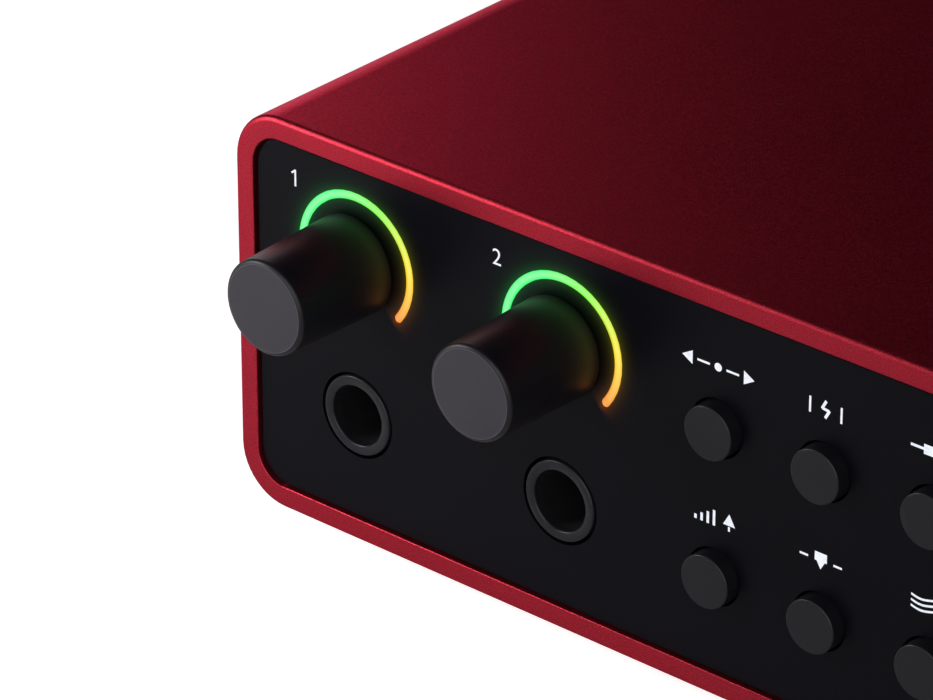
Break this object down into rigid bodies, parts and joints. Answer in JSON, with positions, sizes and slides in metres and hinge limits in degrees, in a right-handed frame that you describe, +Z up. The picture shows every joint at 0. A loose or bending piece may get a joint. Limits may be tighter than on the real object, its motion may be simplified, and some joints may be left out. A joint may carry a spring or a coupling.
{
  "type": "desktop audio interface",
  "caption": "Desktop audio interface in a drawn rounded metal sleeve: front gain, output and headphone knobs with light halos, push buttons and jacks; rear sockets.",
  "frame": {"origin": "on the surface the feet stand on, under the middle of the overall box", "axes": "+X to the right of someone facing the front, +Y from the front to the rear, +Z up; the front faces -Y"},
  "size_m": [0.21, 0.1764, 0.0475],
  "materials": {
    "red_anodised": "bead-blasted and anodised red",
    "black_fascia": "fine satin",
    "rear_black": "powder coat",
    "rubber": "matt",
    "steel": "zinc plated",
    "brass_plated": "turned",
    "black_screw": "black oxide",
    "clear_guide": "clear moulded",
    "led_white": "moulded lens",
    "board": "solder-masked laminate",
    "dark_plastic": "moulded",
    "chip_black": "moulded",
    "can_metal": "drawn cans",
    "contact_metal": "plated spring metal",
    "port_steel": "bright shell",
    "bushing_steel": "die-cast housing",
    "knob_black": "soft touch",
    "shaft_steel": "turned",
    "halo_guide": "frosted, lit from behind",
    "button_grey": "fine satin",
    "jack_plastic": "moulded",
    "socket_metal": "black die casting",
    "latch_metal": "nickel plated"
  },
  "bodies": {
    "base": {"board_link": "dark_plastic", "capacitors": "can_metal", "case_sleeve": "red_anodised", "chassis_tray": "steel", "chips": "chip_black", "control_board": "board", "control_board_screws": "steel", "front_panel": "black_fascia", "gain_encoders": "bushing_steel", "gain_halo_1": "halo_guide", "gain_halo_2": "halo_guide", "headphone_jack": "jack_plastic", "headphone_potentiometer": "bushing_steel", "input_jack_1": "jack_plastic", "input_jack_2": "jack_plastic", "jack_contacts": "contact_metal", "label_light_guides": "clear_guide", "light_emitters": "led_white", "line_input_jack_3": "jack_plastic", "line_input_jack_4": "jack_plastic", "line_output_jack_1": "jack_plastic", "line_output_jack_2": "jack_plastic", "line_output_jack_3": "jack_plastic", "line_output_jack_4": "jack_plastic", "main_board": "board", "main_board_screws": "steel", "mic_contacts": "contact_metal", "mic_socket_1": "socket_metal", "mic_socket_2": "socket_metal", "midi_contacts": "contact_metal", "midi_in_socket": "jack_plastic", "midi_out_socket": "jack_plastic", "output_encoder": "bushing_steel", "output_halo": "halo_guide", "rear_panel": "rear_black", "rear_screws": "black_screw", "rubber_feet": "rubber", "shield_can": "steel", "standoffs": "brass_plated", "tactile_switches": "dark_plastic", "tray_screws": "steel", "usb_data_port": "port_steel", "usb_power_port": "port_steel", "usb_tongues": "dark_plastic"},
    "gain_control_1": {"gain_knob_1": "knob_black", "gain_shaft_1": "shaft_steel"},
    "gain_control_2": {"gain_knob_2": "knob_black", "gain_shaft_2": "shaft_steel"},
    "output_control": {"output_knob": "knob_black", "output_shaft": "shaft_steel"},
    "headphone_control": {"headphone_knob": "knob_black", "headphone_shaft": "shaft_steel"},
    "select_key": {"select_button": "button_grey"},
    "phantom_power_key": {"phantom_power_button": "button_grey"},
    "instrument_key": {"instrument_button": "button_grey"},
    "auto_gain_key": {"auto_gain_button": "button_grey"},
    "safe_level_key": {"safe_level_button": "button_grey"},
    "voicing_key": {"voicing_button": "button_grey"},
    "latch_1": {"mic_latch_1": "latch_metal"},
    "latch_2": {"mic_latch_2": "latch_metal"}
  },
  "joints": [
    {"name": "gain_control_1_turn", "type": "hinge", "parent": "base", "child": "gain_control_1", "pos_m": [-0.0889, -0.07455, 0.0345], "axis": [0, 1, 0], "continuous": true},
    {"name": "gain_control_2_turn", "type": "hinge", "parent": "base", "child": "gain_control_2", "pos_m": [-0.0618, -0.07455, 0.0345], "axis": [0, 1, 0], "continuous": true},
    {"name": "output_control_turn", "type": "hinge", "parent": "base", "child": "output_control", "pos_m": [0.013, -0.07455, 0.025], "axis": [0, 1, 0], "continuous": true},
    {"name": "headphone_control_turn", "type": "hinge", "parent": "base", "child": "headphone_control", "pos_m": [0.047, -0.07455, 0.0345], "axis": [0, 1, 0], "range_deg": [-140, 140]},
    {"name": "select_button_press", "type": "slide", "parent": "base", "child": "select_key", "axis": [0, 1, 0], "range_m": [0, 0.0006], "stiffness_N_per_m": 800, "springref_m": -0.0006},
    {"name": "phantom_power_button_press", "type": "slide", "parent": "base", "child": "phantom_power_key", "axis": [0, 1, 0], "range_m": [0, 0.0006], "stiffness_N_per_m": 800, "springref_m": -0.0006},
    {"name": "instrument_button_press", "type": "slide", "parent": "base", "child": "instrument_key", "axis": [0, 1, 0], "range_m": [0, 0.0006], "stiffness_N_per_m": 800, "springref_m": -0.0006},
    {"name": "auto_gain_button_press", "type": "slide", "parent": "base", "child": "auto_gain_key", "axis": [0, 1, 0], "range_m": [0, 0.0006], "stiffness_N_per_m": 800, "springref_m": -0.0006},
    {"name": "safe_level_button_press", "type": "slide", "parent": "base", "child": "safe_level_key", "axis": [0, 1, 0], "range_m": [0, 0.0006], "stiffness_N_per_m": 800, "springref_m": -0.0006},
    {"name": "voicing_button_press", "type": "slide", "parent": "base", "child": "voicing_key", "axis": [0, 1, 0], "range_m": [0, 0.0006], "stiffness_N_per_m": 800, "springref_m": -0.0006},
    {"name": "mic_latch_1_press", "type": "slide", "parent": "base", "child": "latch_1", "axis": [0, -1, 0], "range_m": [0, 0.0008], "stiffness_N_per_m": 900, "springref_m": -0.0006},
    {"name": "mic_latch_2_press", "type": "slide", "parent": "base", "child": "latch_2", "axis": [0, -1, 0], "range_m": [0, 0.0008], "stiffness_N_per_m": 900, "springref_m": -0.0006}
  ]
}
